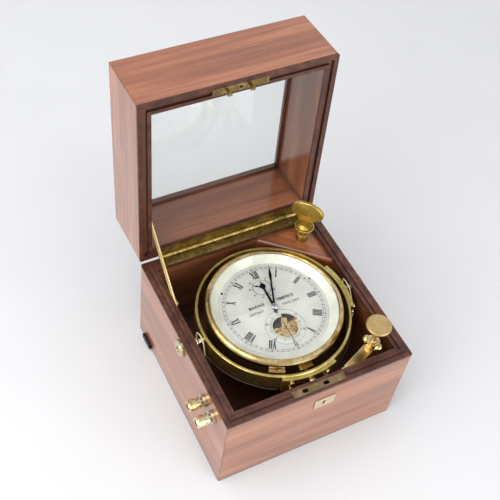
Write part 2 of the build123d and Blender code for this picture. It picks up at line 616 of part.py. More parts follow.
def make_plates():
    top = post(0, 0, PILLAR_PLATE_Z, PILLAR_PLATE_Z + 3, MOVEMENT_R)
    back = post(0, 0, BACK_PLATE_Z, BACK_PLATE_Z + BACK_PLATE_T, MOVEMENT_R - 2)
    top -= post(0, SECONDS_Y, PILLAR_PLATE_Z + RECESS, PILLAR_PLATE_Z + 4, APERTURE_R + 1)
    top -= notch(APERTURE_R - 5, NOTCH_R + 0.6, PILLAR_PLATE_Z + RECESS, PILLAR_PLATE_Z + 4)
    for x, y in ((0, 0), THIRD_AT, (0, SECONDS_Y), ESCAPE_AT, FUSEE_AT, BARREL_AT, (0, RESERVE_Y)):
        hole = PIVOT_HOLE_R
        if (x, y) in (FUSEE_AT, BARREL_AT):
            hole = 2.1
        top -= post(x, y, PILLAR_PLATE_Z - 1, PILLAR_PLATE_Z + 5, hole)
        back -= post(x, y, BACK_PLATE_Z - 1, BACK_PLATE_Z + 5, hole)
    back -= post(*BALANCE_AT, BACK_PLATE_Z - 1, BACK_PLATE_Z + 5, 3.0)
    pillars = []
    for deg in PILLAR_ANGLES:
        x, y = polar(PILLAR_PCR, deg)
        pillars.append(post(x, y, BACK_PLATE_Z + BACK_PLATE_T, PILLAR_PLATE_Z, PILLAR_R))
    add("pillar_plate", top)
    add("back_plate", back)
    add("pillars", *pillars)
    bx, by = BALANCE_AT
    floor = BOWL_FLOOR + BOWL_T
    swing = Pos(bx, by, 0) * Rot(0, 0, -20)
    cock = swing * box(-4, 26, -5, 5, floor + 0.6, floor + 3.0)
    foot = swing * box(19, 26, -5, 5, floor + 2.5, BACK_PLATE_Z)
    add("balance_cock", cock + foot)


def notch(r_in, r_out, z0, z1):
    """The aperture's wider part."""
    return Pos(0, SECONDS_Y, 0) * arc_plate(r_in, r_out, z0, z1, *NOTCH)


def make_dial(terminal_block):
    dial = post(0, 0, DIAL_Z, DIAL_TOP, DIAL_R)
    dial -= post(0, 0, DIAL_Z - 1, DIAL_TOP + 1, 2.2)
    dial -= post(0, SECONDS_Y, DIAL_Z - 1, DIAL_TOP + 1, APERTURE_R)
    dial -= notch(APERTURE_R - 1, NOTCH_R, DIAL_Z - 1, DIAL_TOP + 1)
    dial -= post(0, RESERVE_Y, DIAL_Z - 1, DIAL_TOP + 1, 1.2)
    add("dial", dial)
    z = PILLAR_PLATE_Z + RECESS
    low = Pos(0, SECONDS_Y, 0) * arc_plate(2.0, APERTURE_R - 0.4, z, z + 1.8, -108, 62)
    arm = Pos(0, SECONDS_Y, 0) * Rot(0, 0, 66) * box(1.5, 13.0, -2.6, 2.6, z, z + 1.2)
    hub = post(0, SECONDS_Y, z, z + 2.4, 3.6)
    bridge = low + arm + hub
    bridge -= post(0, SECONDS_Y, z - 1, z + 6, PIVOT_HOLE_R)
    bridge -= post(-5.2, SECONDS_Y - 4.6, z - 1, z + 6, 1.7)
    screws = []
    for x, y, seat in ((-2.0, -7.6, 1.8), (5.0, -7.0, 1.8), (4.6, 9.4, 1.2)):
        screws.append(post(x, SECONDS_Y + y, z + seat, z + seat + 0.9, 1.4))
    wheel = tube(7.6, SECONDS_Y + 1.6, z + 0.2, z + 0.9, 2.0, 3.4)
    wheel += post(7.6, SECONDS_Y + 1.6, z, z + 2.0, 0.7)
    wheel += box(5.0, 10.2, SECONDS_Y + 1.1, SECONDS_Y + 2.1, z + 0.2, z + 0.9)
    block = box(-9.6, -6.2, SECONDS_Y + 1.0, SECONDS_Y + 3.6, z, z + 2.2)
    finger = box(-9.0, -4.0, SECONDS_Y + 1.9, SECONDS_Y + 2.6, z + 2.0, z + 2.5)
    add("contact_pieces", bridge, wheel, block + finger, *screws, terminal_block)


def spade(length, spade_at, spade_w, spade_l, shaft_w, tail, hub):
    """Outline of a hand that points along +Y."""
    half = shaft_w / 2
    right = [(half, hub), (half * 0.8, spade_at - spade_l / 2), (spade_w / 2, spade_at)]
    right += [(half * 0.5, spade_at + spade_l / 2)]
    left = [(-x, y) for x, y in reversed(right)]
    outline = [(0.9 * half, -tail)] + right + [(0, length)] + left + [(-0.9 * half, -tail)]
    return make_face(Polyline(*outline, close=True))


def hand(x, y, z, thick, cw, face, hub_r, hole_r):
    shape = extrude(face, thick) + Pos(0, 0, thick / 2) * Cylinder(hub_r, thick)
    shape -= Pos(0, 0, thick / 2) * Cylinder(hole_r, 4 * thick)
    return Pos(x, y, z) * Rot(0, 0, -cw) * shape


def make_train():
    top, low = PILLAR_PLATE_Z, BACK_PLATE_Z + BACK_PLATE_T
    centre = (0.0, 0.0)
    fourth = (0.0, SECONDS_Y)
    lead = bearing(FUSEE_AT, centre)

    fusee = arbor(*FUSEE_AT, low, top, 2.6) + gear(*FUSEE_AT, 90, 92, GREAT_TEETH, MODULE, lead)
    steps = 8
    profile = [(0, 72)]
    for n in range(steps):
        r = 9.0 + 8.0 * (n / (steps - 1)) ** 1.5
        z = 72.5 + 2.1 * n
        profile += [(r, z), (r, z + 1.2), (r - 0.8, z + 1.5), (r - 0.8, z + 2.0)]
    profile += [(17, 89.6), (17, 90.1), (0, 90.1)]
    fusee += turned(profile, (*FUSEE_AT, 0))
    fusee += post(*FUSEE_AT, BOWL_FLOOR + 5, low - 1, 1.9)
    add("fusee", fusee)

    drum = turned([(0, 70), (BARREL_R, 70), (BARREL_R, 84.2), (0, 84.2)], (*BARREL_AT, 0))
    add("barrel", drum + arbor(*BARREL_AT, low, top, 2.0))

    wheel = gear(0, 0, 93.4, 94.8, CENTRE_TEETH, MODULE, bearing(centre, THIRD_AT))
    wheel -= windows(0, 0, 93.4, 94.8, 5, 17)
    pinion = gear(0, 0, 88.5, 93.0, CENTRE_PINION, MODULE, meshed(FUSEE_AT, centre, CENTRE_PINION))
    spindle = arbor(0, 0, low, top) + post(0, 0, top - 1, DIAL_TOP + 4.0, PIVOT_END_R)
    add("centre_wheel", wheel + pinion + spindle + post(0, 0, 92.9, 93.5, 3))

    wheel = gear(*THIRD_AT, 86.0, 87.2, THIRD_TEETH, MODULE, bearing(THIRD_AT, fourth))
    wheel -= windows(*THIRD_AT, 86.0, 87.2, 4.5, 15)
    pinion = gear(*THIRD_AT, 92.6, 95.3, THIRD_PINION, MODULE, meshed(centre, THIRD_AT, THIRD_PINION))
    add("third_wheel", wheel + pinion + arbor(*THIRD_AT, low, top))

    wheel = gear(*fourth, 79.6, 80.6, FOURTH_TEETH, FINE_MODULE, bearing(fourth, ESCAPE_AT))
    wheel -= windows(*fourth, 79.6, 80.6, 4.0, 13.5)
    pinion = gear(*fourth, 85.2, 88.0, FOURTH_PINION, MODULE, meshed(THIRD_AT, fourth, FOURTH_PINION))
    spindle = arbor(*fourth, low, top, 1.1) + post(*fourth, top - 1, DIAL_TOP + 1.6, 0.6)
    add("fourth_wheel", wheel + pinion + spindle)

    blades = []
    for n in range(ESCAPE_TEETH):
        a = 2 * pi * n / ESCAPE_TEETH
        for r, turn in ((6.4, 0.0), (9.0, 0.12), (9.2, 0.19), (6.4, 0.13)):
            blades.append((r * cos(a + turn), r * sin(a + turn)))
    wheel = Pos(*ESCAPE_AT, 0) * prism(blades, 72.4, 73.4)
    phase = meshed(fourth, ESCAPE_AT, ESCAPE_PINION)
    pinion = gear(*ESCAPE_AT, 78.4, 81.8, ESCAPE_PINION, FINE_MODULE, phase)
    add("escape_wheel", wheel + pinion + arbor(*ESCAPE_AT, low, top, 1.0))

    x, y = BALANCE_AT
    rim = tube(x, y, 54.0, 58.0, 12.6, 14.6)
    bar = box(x - 13, x + 13, y - 1.3, y + 1.3, 54.0, 55.4)
    staff = post(x, y, 50.6, 75.0, 0.9) + post(x, y, 71.6, 72.2, 2.4)
    nuts = rod((x - 17.0, y, 56), (x - 14.2, y, 56), 1.3)
    nuts += rod((x + 14.2, y, 56), (x + 17.0, y, 56), 1.3)
    add("balance", rim + bar + staff + nuts)
    turns = [tube(x, y, 58.8 + n, 59.2 + n, 4.3, 4.8) for n in range(6)]
    add("balance_spring", *turns)

    chain_z = 77.0
    tangent = bearing(BARREL_AT, FUSEE_AT) - 90
    ends = []
    for at, r in ((BARREL_AT, BARREL_R + 0.6), (FUSEE_AT, 12.4)):
        ox, oy = polar(r, tangent)
        ends.append((at[0] + ox, at[1] + oy))
    (x0, y0), (x1, y1) = ends
    count = int(hypot(x1 - x0, y1 - y0) / 1.5)
    links = []
    for n in range(count):
        t = (n + 0.5) / count
        spot = Pos(x0 + (x1 - x0) * t, y0 + (y1 - y0) * t, chain_z + 0.3 * (n % 2))
        links.append(spot * Rot(0, 0, bearing(ends[0], ends[1])) * Box(1.38, 0.4, 1.1))
    add("fusee_chain", *links)


def make_hands():
    z = DIAL_TOP
    hour = hand(0, 0, z + 1.4, 0.5, HOUR_CW, spade(31.5, 25.0, 6.4, 7.0, 2.2, 5, 2), 2.2, 1.2)
    minute = hand(0, 0, z + 2.5, 0.5, MINUTE_CW, spade(47.8, 35.5, 2.8, 15, 1.8, 7, 2), 2.2, PIVOT_END_R)
    cap = turned([(PIVOT_END_R, 0), (3.3, 0), (3.3, 0.5), (2.8, 1.0), (PIVOT_END_R, 1.2)], (0, 0, z + 3.0))
    seconds = hand(0, SECONDS_Y, z + 0.7, 0.35, SECONDS_CW, spade(17.0, 10, 0.9, 3, 0.6, 5, 1), 1.2, 0.6)
    reserve = hand(0, RESERVE_Y, z + 0.4, 0.35, RESERVE_CW, spade(8.2, 5, 1.5, 3, 0.8, 2.5, 0.8), 1.3, 0.5)
    reserve += post(0, RESERVE_Y, PILLAR_PLATE_Z + 0.5, z + 0.9, 0.6)
    tube_hour = tube(0, 0, PILLAR_PLATE_Z + 3.2, z + 1.9, 1.0, 1.5)
    add("hour_hand", hour + tube_hour)
    add("minute_hand", minute + cap)
    add("seconds_hand", seconds)
    add("reserve_hand", reserve)


# ---------------------------------------------------------------- leads
def lead(*points):
    """A thin insulated lead held along its route, with tangent arcs at its turns."""
    turns = []
    for before, corner, after in zip(points, points[1:], points[2:]):
        into = Vector(*corner) - Vector(*before)
        away = Vector(*after) - Vector(*corner)
        bend = radians(into.get_angle(away))
        turns.append(0.45 * min(into.length, away.length) / sin(bend / 2) * cos(bend / 2))
    path = FilletPolyline(*points, radius=turns)
    print("lead bend radii", [round(r, 1) for r in turns], "length", round(path.length, 1))
    start = Plane(origin=path @ 0, z_dir=path % 0)
    return sweep(start * Circle(LEAD_R), path)


def round_ring(r, *stops):
    """Points round the gimbal ring from pairs of direction and height."""
    return [polar(r, deg) + (z,) for deg, z in stops]


def make_leads():
    x = 3.4 - INNER
    low = BASE_T + 1.2
    start_y, start_z = TERMINAL_Y[1] + POST_R + 0.1, TERMINAL_Z - POST_R - 0.1
    left = lead((x, start_y, TERMINAL_Z), (x + 1, -36, 80), (x + 1.2, -20, 84), (x + 1, -8, 86),
                (x + 0.8, -1, 89))
    right = lead((x, TERMINAL_Y[0], start_z), (x + 1, -70, 62), (x + 1, -66, 36), (x + 8, -60, 14),
                 (x + 36, -50, low), (0, -30, low + 0.5), (40, -14, low), (70, -6, 16), (76, -4, 40),
                 (76.6, -8, 66), (77, -5, 86))
    add("case_leads", left, right)
    r = RING_OUT + 2.0
    left = lead(*round_ring(r, (188, 84.6), (205, 84.4), (222, 84.9), (239, 84.4), (246, 84.6)))
    right = lead(*round_ring(r, (-22, 84.6), (-34, 84.3), (-47, 84.8), (-58, 84.4), (-68, 84.7)))
    loop = lead((-8.4, -65.2, 94.0), (-9.6, -66.0, 97.2), (-12.2, -66.6, 98.4), (-14.6, -66.9, 96.4),
                (-15.4, -66.6, 93.0))
    add("ring_leads", left, right, loop)


# ---------------------------------------------------------------- assembly
HALF_REACH = STAY_REACH / 2
STAY_GUIDE = (STAY_FOOT_Y - HALF_REACH * STAY_DIR[0], STAY_FOOT_Z - HALF_REACH * STAY_DIR[1])
STAY_PIVOT = (STAY_FOOT_Y + HALF_REACH * STAY_DIR[0], STAY_FOOT_Z + HALF_REACH * STAY_DIR[1])

FUSEE_AT = polar((GREAT_TEETH + CENTRE_PINION) * MODULE / 2, FUSEE_TURN)
third_from_centre = (CENTRE_TEETH + THIRD_PINION) * MODULE / 2
third_from_fourth = (THIRD_TEETH + FOURTH_PINION) * MODULE / 2
third_y = (third_from_centre ** 2 - third_from_fourth ** 2 + SECONDS_Y ** 2) / (2 * SECONDS_Y)
THIRD_AT = (sqrt(third_from_centre ** 2 - third_y ** 2), third_y)
escape_x, escape_y = polar((FOURTH_TEETH + ESCAPE_PINION) * FINE_MODULE / 2, ESCAPE_TURN)
ESCAPE_AT = (escape_x, SECONDS_Y + escape_y)
BALANCE_AT = (ESCAPE_AT[0] + 6.6, ESCAPE_AT[1] + 10.1)
SHUTTER_AT = (FUSEE_AT[0] - 12.0, FUSEE_AT[1] - 12.0)

make_case()
make_lid()
make_key_block()
case_heads, lid_heads = make_hinge()
make_lock()
make_terminals()
make_case_pivots()
make_side_lug()
make_lock_lever()
lid_heads += make_link_plate()
add("case_screws", *case_heads, stay_pin(*STAY_GUIDE))
add("lid_screws", *lid_heads, stay_pin(*STAY_PIVOT))
make_lid_stay()
make_key()
make_ring()
terminal_block = make_bowl()
make_plates()
make_dial(terminal_block)
make_train()
make_hands()
make_leads()

os.makedirs("parts", exist_ok=True)
for name, shape in parts.items():
    export_step(shape, "parts/" + name + ".step")
print(len(parts), "nodes; stay guide", STAY_GUIDE, "stay pivot", STAY_PIVOT)
print("fusee", FUSEE_AT, "third", THIRD_AT, "escape", ESCAPE_AT, "balance", BALANCE_AT)
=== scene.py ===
from math import cos, pi, radians, sin

import bmesh
import bpy
from mathutils import Matrix, Vector


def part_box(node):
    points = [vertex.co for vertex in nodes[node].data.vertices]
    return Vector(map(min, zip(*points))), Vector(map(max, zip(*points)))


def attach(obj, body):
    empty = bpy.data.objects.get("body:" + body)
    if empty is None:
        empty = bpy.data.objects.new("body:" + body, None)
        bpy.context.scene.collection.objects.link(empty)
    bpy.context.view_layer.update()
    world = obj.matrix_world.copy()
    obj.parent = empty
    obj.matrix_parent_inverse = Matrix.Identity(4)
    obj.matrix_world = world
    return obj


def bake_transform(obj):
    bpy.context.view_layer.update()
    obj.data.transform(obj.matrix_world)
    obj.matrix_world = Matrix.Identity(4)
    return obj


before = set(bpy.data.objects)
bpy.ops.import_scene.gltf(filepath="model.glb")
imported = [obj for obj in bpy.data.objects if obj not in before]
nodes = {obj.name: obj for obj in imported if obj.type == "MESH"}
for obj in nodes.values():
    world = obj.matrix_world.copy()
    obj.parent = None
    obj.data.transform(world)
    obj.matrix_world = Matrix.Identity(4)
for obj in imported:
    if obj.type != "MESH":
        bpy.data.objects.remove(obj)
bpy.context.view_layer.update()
MM = 0.001

# ---------------------------------------------------------------- node tools
def tone(code):
    """An sRGB hex colour as linear RGBA."""
    channels = [int(code[i:i + 2], 16) / 255 for i in (0, 2, 4)]
    linear = [c / 12.92 if c <= 0.04045 else ((c + 0.055) / 1.055) ** 2.4 for c in channels]
    return (*linear, 1.0)


class Look:
    """One procedural material, built node by node. Lengths are in millimetres."""

    def __init__(self, name):
        self.material = bpy.data.materials.new(name)
        self.material.use_nodes = True
        self.tree = self.material.node_tree
        self.tree.nodes.clear()
        self.out = self.tree.nodes.new("ShaderNodeOutputMaterial")
        self.shader = self.tree.nodes.new("ShaderNodeBsdfPrincipled")
        self.join(self.shader.outputs[0], self.out.inputs["Surface"])
        coords = self.tree.nodes.new("ShaderNodeTexCoord")
        self.place = self.spread(coords.outputs["Object"], (1 / MM,) * 3)

    def join(self, a, b):
        self.tree.links.new(a, b)

    def feed(self, socket, value):
        if isinstance(value, bpy.types.NodeSocket):
            self.join(value, socket)
        else:
            socket.default_value = value

    def spread(self, vector, scale, turn=(0, 0, 0), shift=(0, 0, 0)):
        node = self.tree.nodes.new("ShaderNodeMapping")
        self.join(vector, node.inputs["Vector"])
        node.inputs["Scale"].default_value = scale
        node.inputs["Rotation"].default_value = turn
        node.inputs["Location"].default_value = shift
        return node.outputs[0]

    def noise(self, scale, detail=3.0, rough=0.5, twist=0.0, at=None):
        """Noise whose scale is in cycles per millimetre along each axis."""
        node = self.tree.nodes.new("ShaderNodeTexNoise")
        self.join(self.spread(at or self.place, scale), node.inputs["Vector"])
        node.inputs["Scale"].default_value = 1.0
        node.inputs["Detail"].default_value = detail
        node.inputs["Roughness"].default_value = rough
        node.inputs["Distortion"].default_value = twist
        return node.outputs["Fac"]

    def span(self, value, low, high, to_low=0.0, to_high=1.0):
        node = self.tree.nodes.new("ShaderNodeMapRange")
        node.interpolation_type = "SMOOTHSTEP"
        self.feed(node.inputs["Value"], value)
        for name, number in (("From Min", low), ("From Max", high), ("To Min", to_low), ("To Max", to_high)):
            node.inputs[name].default_value = number
        return node.outputs["Result"]

    def math(self, kind, a, b=0.0):
        node = self.tree.nodes.new("ShaderNodeMath")
        node.operation = kind
        self.feed(node.inputs[0], a)
        self.feed(node.inputs[1], b)
        return node.outputs[0]

    def mix(self, amount, a, b):
        node = self.tree.nodes.new("ShaderNodeMix")
        node.data_type = "RGBA"
        node.blend_type = "MIX"
        self.feed(node.inputs["Factor"], amount)
        self.feed(node.inputs["A"], a)
        self.feed(node.inputs["B"], b)
        return node.outputs["Result"]

    def ramp(self, value, *stops):
        node = self.tree.nodes.new("ShaderNodeValToRGB")
        self.feed(node.inputs[0], value)
        points = node.color_ramp.elements
        while len(points) < len(stops):
            points.new(0.5)
        for point, (place, code) in zip(points, stops):
            point.position = place
            point.color = tone(code)
        return node.outputs["Color"]

    def axis(self, name, at=None):
        node = self.tree.nodes.new("ShaderNodeSeparateXYZ")
        self.join(at or self.place, node.inputs[0])
        return node.outputs[name]

    def crevice(self, reach):
        """How enclosed a point is: 1 in the open, 0 in a corner."""
        node = self.tree.nodes.new("ShaderNodeAmbientOcclusion")
        node.samples = 6
        node.inputs["Distance"].default_value = reach * MM
        return node.outputs["AO"]

    def bump(self, *layers):
        """Stacks heights, each with its depth in millimetres."""
        normal = None
        for height, depth in layers:
            node = self.tree.nodes.new("ShaderNodeBump")
            self.feed(node.inputs["Height"], height)
            node.inputs["Distance"].default_value = depth * MM
            if normal is not None:
                self.join(normal, node.inputs["Normal"])
            normal = node.outputs[0]
        self.join(normal, self.shader.inputs["Normal"])
        return normal

    def finish(self, **inputs):
        for name, value in inputs.items():
            self.feed(self.shader.inputs[name.replace("_", " ")], value)
        return self.material


# ---------------------------------------------------------------- materials
RIM_CASE, RIM_LID = 102.5, 103.5        # heights of the two stained rims, lid shut
HALF, INNER = 92.0, 80.0                # the boards' outer and inner faces
GRAIN = {"X": (1, 0, 0), "Y": (0, 1, 0), "Z": (0, 0, 1)}


def along(grain, lengthwise, across):
    """Noise scales that stretch along the grain."""
    return tuple(lengthwise if k else across for k in GRAIN[grain])


def mahogany(name, grain, dark="70391f", mid="985a38", light="b6784f", shift=(0, 0, 0),
             turn=(0, 0, 0), gloss=0.14, rim=None, seed=0.0, shade=0.6):
    """French polished mahogany: soft ribbon figure, fibres, open pores, dark rims and corners, with painted
    shade on the inside faces and in crevices.
    shift and turn bring the piece into the shut case's frame, rim is the height of its stained
    face, and shade is how far painted shade darkens the inside faces."""
    look = Look(name)
    polish = 0.9
    here = look.spread(look.place, (1, 1, 1), turn, shift)
    there = look.spread(here, (1, 1, 1), (0, 0, 0), (seed, 2.3 * seed, 0.7 * seed))
    figure = look.noise(along(grain, 0.004, 0.045), 3, 0.5, 0.35, there)
    ribbon = look.noise(along(grain, 0.012, 0.42), 3, 0.6, 0.15, there)
    fibre = look.noise(along(grain, 0.035, 2.6), 4, 0.7, 0.1, there)
    fleck = look.noise(along(grain, 0.22, 5.5), 2, 0.55, 0.0, there)
    pore = look.span(fleck, 0.585, 0.66)
    cloud = look.noise((0.016,) * 3, 2, 0.5, 0.4, there)
    blend = look.math("ADD", look.math("MULTIPLY", figure, 0.65), look.math("MULTIPLY", ribbon, 0.35))
    colour = look.ramp(look.span(blend, 0.3, 0.7), (0.0, dark), (0.5, mid), (1.0, light))
    colour = look.mix(look.span(fibre, 0.42, 0.66, 0.0, 0.42), colour, tone(dark))
    colour = look.mix(look.span(cloud, 0.42, 0.72, 0.0, 0.22), colour, tone("a8613a"))
    colour = look.mix(look.math("MULTIPLY", pore, 0.55), colour, tone("3a1a10"))
    if rim is not None:
        away = look.math("ABSOLUTE", look.math("SUBTRACT", look.axis("Z", here), rim))
        worn = look.noise((0.12,) * 3, 3, 0.6)
        stain = look.span(away, 1.9, 2.6, 1.0, 0.0)
        stain = look.math("MULTIPLY", stain, look.span(worn, 0.3, 0.75, 1.0, 0.75))
        colour = look.mix(stain, colour, look.mix(fibre, tone("1a0703"), tone("47170a")))
        polish = look.span(away, 1.9, 2.6, 0.04, 0.9)
        across = look.math("ABSOLUTE", look.axis("X", here))
        deep = look.math("ABSOLUTE", look.axis("Y", here))
        reach = look.math("MAXIMUM", across, deep)
        # Painted shade: faces on the inside of the boards, reach below INNER, are darkened towards 3a1a0e by
        # shade.
        inside = look.span(reach, INNER - 0.4, INNER + 0.4, shade, 0.0)
        colour = look.mix(inside, colour, tone("3a1a0e"))
        mitre = look.math("MINIMUM", across, deep)
        corner = look.span(mitre, HALF - 1.4, HALF - 0.4, 0.0, 0.6)
        colour = look.mix(look.math("MULTIPLY", corner, worn), colour, tone("220b06"))
    # Painted shade: crevices, corners and the well within 9 mm are darkened towards 1a0b07.
    painted_crevice_shade = look.span(look.crevice(9), 0.3, 0.95, 0.75, 0.0)
    colour = look.mix(painted_crevice_shade, colour, tone("1a0b07"))
    rough = look.span(cloud, 0.3, 0.7, 0.36, 0.48)
    look.bump((fibre, 0.012), (pore, -0.02), (look.noise((0.05,) * 3, 2), 0.04))
    return look.finish(Base_Color=colour, Roughness=rough, IOR=1.5, Coat_Weight=polish,
                       Coat_Roughness=gloss, Coat_IOR=1.55)


def brass(name, base="b08a3e", worn="d8b467", dull="5e4a1f", rough=(0.24, 0.42), patina=0.5, lines=None,
          grit=0.0, scale=1.0):
    """Aged brass: mottled tarnish, brighter worn places, turning lines and optional sanded grit."""
    look = Look(name)
    patches = look.noise((0.09 * scale,) * 3, 4, 0.6, 0.5)
    spots = look.noise((0.55 * scale,) * 3, 3, 0.6)
    streak = look.noise(lines or (0.25, 3.0, 3.0), 3, 0.6)
    colour = look.mix(look.span(patches, 0.36, 0.66), tone(base), tone(worn))
    colour = look.mix(look.span(spots, 0.48, 0.74, 0.0, patina), colour, tone(dull))
    # Painted shade, also standing for dirt: crevices and tight corners within 2.5 mm are darkened towards
    # 241a0a.
    colour = look.mix(look.span(look.crevice(2.5), 0.25, 0.9, 0.7, 0.0), colour, tone("241a0a"))
    shine = look.span(patches, 0.3, 0.7, rough[1], rough[0])
    shine = look.math("ADD", shine, look.span(spots, 0.5, 0.8, 0.0, 0.12))
    heights = [(streak, 0.012), (spots, 0.02)]
    if grit:
        heights.append((look.noise((4.5,) * 3, 2, 0.6), grit))
    look.bump(*heights)
    return look.finish(Base_Color=colour, Metallic=1.0, Roughness=shine)


def silver(name, base, bright, stain="b9b69f", rough=(0.34, 0.46), metal=0.35, grain=0.006):
    """Silvered brass: a matt white grain with faint yellowing and marks."""
    look = Look(name)
    cloud = look.noise((0.06,) * 3, 3, 0.5)
    grainy = look.noise((6.0,) * 3, 2, 0.6)
    mark = look.noise((0.7,) * 3, 4, 0.7)
    colour = look.mix(look.span(cloud, 0.35, 0.7), tone(base), tone(bright))
    colour = look.mix(look.span(mark, 0.62, 0.8, 0.0, 0.30), colour, tone(stain))
    colour = look.mix(look.span(grainy, 0.35, 0.75, 0.0, 0.10), colour, tone("9c9c97"))
    look.bump((grainy, grain))
    return look.finish(Base_Color=colour, Metallic=metal, Roughness=look.span(cloud, 0.3, 0.7, *rough))


def steel(name, base="10131f", sheen="26345c", rough=(0.16, 0.3), cap=0.0):
    """Blued or grey steel with fine polishing lines and a shifting oxide colour; cap is the radius of a bright
    cap on the dial's axis."""
    look = Look(name)
    cloud = look.noise((0.25,) * 3, 3, 0.5)
    lines = look.noise((0.4, 5.0, 5.0), 3, 0.5)
    colour = look.mix(look.span(cloud, 0.4, 0.7), tone(base), tone(sheen))
    if cap:
        x, y = look.axis("X"), look.axis("Y")
        square = look.math("ADD", look.math("MULTIPLY", x, x), look.math("MULTIPLY", y, y))
        within = look.span(square, (cap - 0.1) ** 2, (cap + 0.1) ** 2, 1.0, 0.0)
        colour = look.mix(within, colour, tone("c3c4c4"))
    look.bump((lines, 0.006))
    return look.finish(Base_Color=colour, Metallic=0.9, Roughness=look.span(lines, 0.3, 0.7, *rough))


def glass(name, tint="f6f9f8"):
    """Clear glass with faint smears; lamps shine through it."""
    look = Look(name)
    smear = look.noise((0.03, 0.05, 0.04), 3, 0.6, 0.6)
    look.bump((smear, 0.003))
    look.finish(Base_Color=tone(tint), Roughness=0.01, IOR=1.45, Transmission_Weight=1.0)
    clear = look.tree.nodes.new("ShaderNodeBsdfTransparent")
    clear.inputs["Color"].default_value = tone(tint)
    path = look.tree.nodes.new("ShaderNodeLightPath")
    both = look.tree.nodes.new("ShaderNodeMixShader")
    look.join(path.outputs["Is Shadow Ray"], both.inputs[0])
    look.join(look.shader.outputs[0], both.inputs[1])
    look.join(clear.outputs[0], both.inputs[2])
    look.join(both.outputs[0], look.out.inputs["Surface"])
    return look.material


def plain_stock(name, base, other, rough, metal=0.0, fine=2.0, depth=0.02):
    """Paint, sleeve or ink: two close tones, a fine grain and uneven gloss."""
    look = Look(name)
    cloud = look.noise((fine,) * 3, 3, 0.6)
    colour = look.mix(look.span(cloud, 0.35, 0.7), tone(base), tone(other))
    look.bump((cloud, depth))
    dull = look.span(cloud, 0.3, 0.7, rough, rough + 0.12)
    return look.finish(Base_Color=colour, Metallic=metal, Roughness=dull)


def plate_in_shade(name):
    """The gilt pillar plate, with painted shade turning it dark grey in the upper part of the dial's aperture.
    """
    look = Look(name)
    cloud = look.noise((0.3,) * 3, 3, 0.6)
    spots = look.noise((1.6,) * 3, 3, 0.6)
    gilt = look.mix(look.span(cloud, 0.38, 0.66), tone("c08c48"), tone("e6bd7c"))
    # Painted shade: above a slanted, cloudy line across the aperture the gilt turns dark grey 35322e.
    slant = look.math("ADD", look.axis("Y"), look.math("MULTIPLY", look.axis("X"), -0.25))
    edge = look.math("ADD", slant, look.math("MULTIPLY", cloud, 3.0))
    colour = look.mix(look.span(edge, -17.5, -14.5, 0.0, 0.95), gilt, tone("35322e"))
    colour = look.mix(look.span(spots, 0.5, 0.75, 0.0, 0.4), colour, tone("5a4322"))
    look.bump((spots, 0.02))
    return look.finish(Base_Color=colour, Metallic=0.9, Roughness=look.span(cloud, 0.3, 0.7, 0.25, 0.4))


def finish(material, *names):
    """Gives CAD nodes a material."""
    for name in names:
        mesh = nodes[name].data
        mesh.materials.clear()
        mesh.materials.append(material)


HINGE_AT = Vector((0, 93, 103))
SHUT_TURN = radians(93.3)
SHUT_SHIFT = HINGE_AT - Matrix.Rotation(SHUT_TURN, 3, "X") @ HINGE_AT
SHUT = {"turn": (SHUT_TURN, 0, 0), "shift": tuple(SHUT_SHIFT), "rim": RIM_LID}

for part, grain, seed in (("front", "X", 0), ("back", "X", 31), ("left", "Y", 67), ("right", "Y", 105)):
    own = mahogany("Box_Mahogany_" + part, grain, rim=RIM_CASE, seed=seed, shade=0.86)
    finish(own, "case_" + part + "_board")
    own = mahogany("Lid_Mahogany_" + part, grain, seed=seed + 200, **SHUT)
    finish(own, "lid_" + part + "_board")
finish(mahogany("Bead_Mahogany", "X", "3f1d12", "5c3020", "744030"), "lid_glazing_beads")
block = mahogany("Block_Mahogany", "X", "4c2210", "874722", "b56c37", turn=(0, 0, radians(45)), gloss=0.08)
finish(block, "key_block")
finish(mahogany("Floor_Mahogany", "X", "3c1c12", "552c1e", "6c3c2a", seed=70), "case_bottom_board")

HINGE = brass("Hinge_Brass", "7f6a38", "a8925d", "3c3115", (0.26, 0.44), 0.75, (0.08, 2.2, 2.2))
KEY = brass("Cast_Brass", "b0943f", "cfb468", "7a6128", (0.34, 0.46), 0.4, grit=0.04)
THUMB = brass("Sanded_Brass", "b89c66", "c9ae7c", "8c7248", (0.46, 0.56), 0.3, grit=0.06)
BRIGHT = brass("Polished_Brass", "c4a76a", "e4d2a2", "7d6435", (0.12, 0.24), 0.3, (2.5, 0.3, 0.3))
LABEL = brass("Escutcheon_Brass", "dcc8a6", "efe0c6", "a8916a", (0.3, 0.42), 0.3)
RING = brass("Ring_Brass", "b09a52", "d2bd7c", "6e5c28", (0.3, 0.42), 0.45, (0.1, 0.1, 3.0))
PLATE = brass("Lock_Plate_Brass", "7f6c4b", "9e8865", "4a3b25", (0.4, 0.55), 0.6)
GILT = brass("Gilt_Brass", "deb77c", "f5dfb6", "9a7038", (0.3, 0.45), 0.25)
BEZEL = brass("Bezel_Brass", "b6975a", "dcc492", "76602f", (0.13, 0.24), 0.35, (0.2, 0.2, 4.0))
BOWL = brass("Bowl_Brass", "8f742f", "b0934a", "4a3b17", (0.36, 0.5), 0.5)
NUT = brass("Terminal_Brass", "cdba8c", "eadfbe", "8d7a50", (0.12, 0.24), 0.25, (2.5, 0.3, 0.3))
STAY = brass("Stay_Brass", "c4a96c", "e6d3a0", "8d733c", (0.2, 0.34), 0.3, (0.3, 3.0, 3.0))
DIAL = silver("Silvered_Dial", "b5b2ad", "c0bdb7", metal=0.1)
SURROUND = silver("Silvered_Surround", "cdc8bb", "dcd7cb", "b9b4a0", (0.3, 0.38), 0.25)
BLUE = steel("Blued_Steel")
GREY = steel("Spring_Steel", "55565c", "7a7b80", (0.25, 0.4))
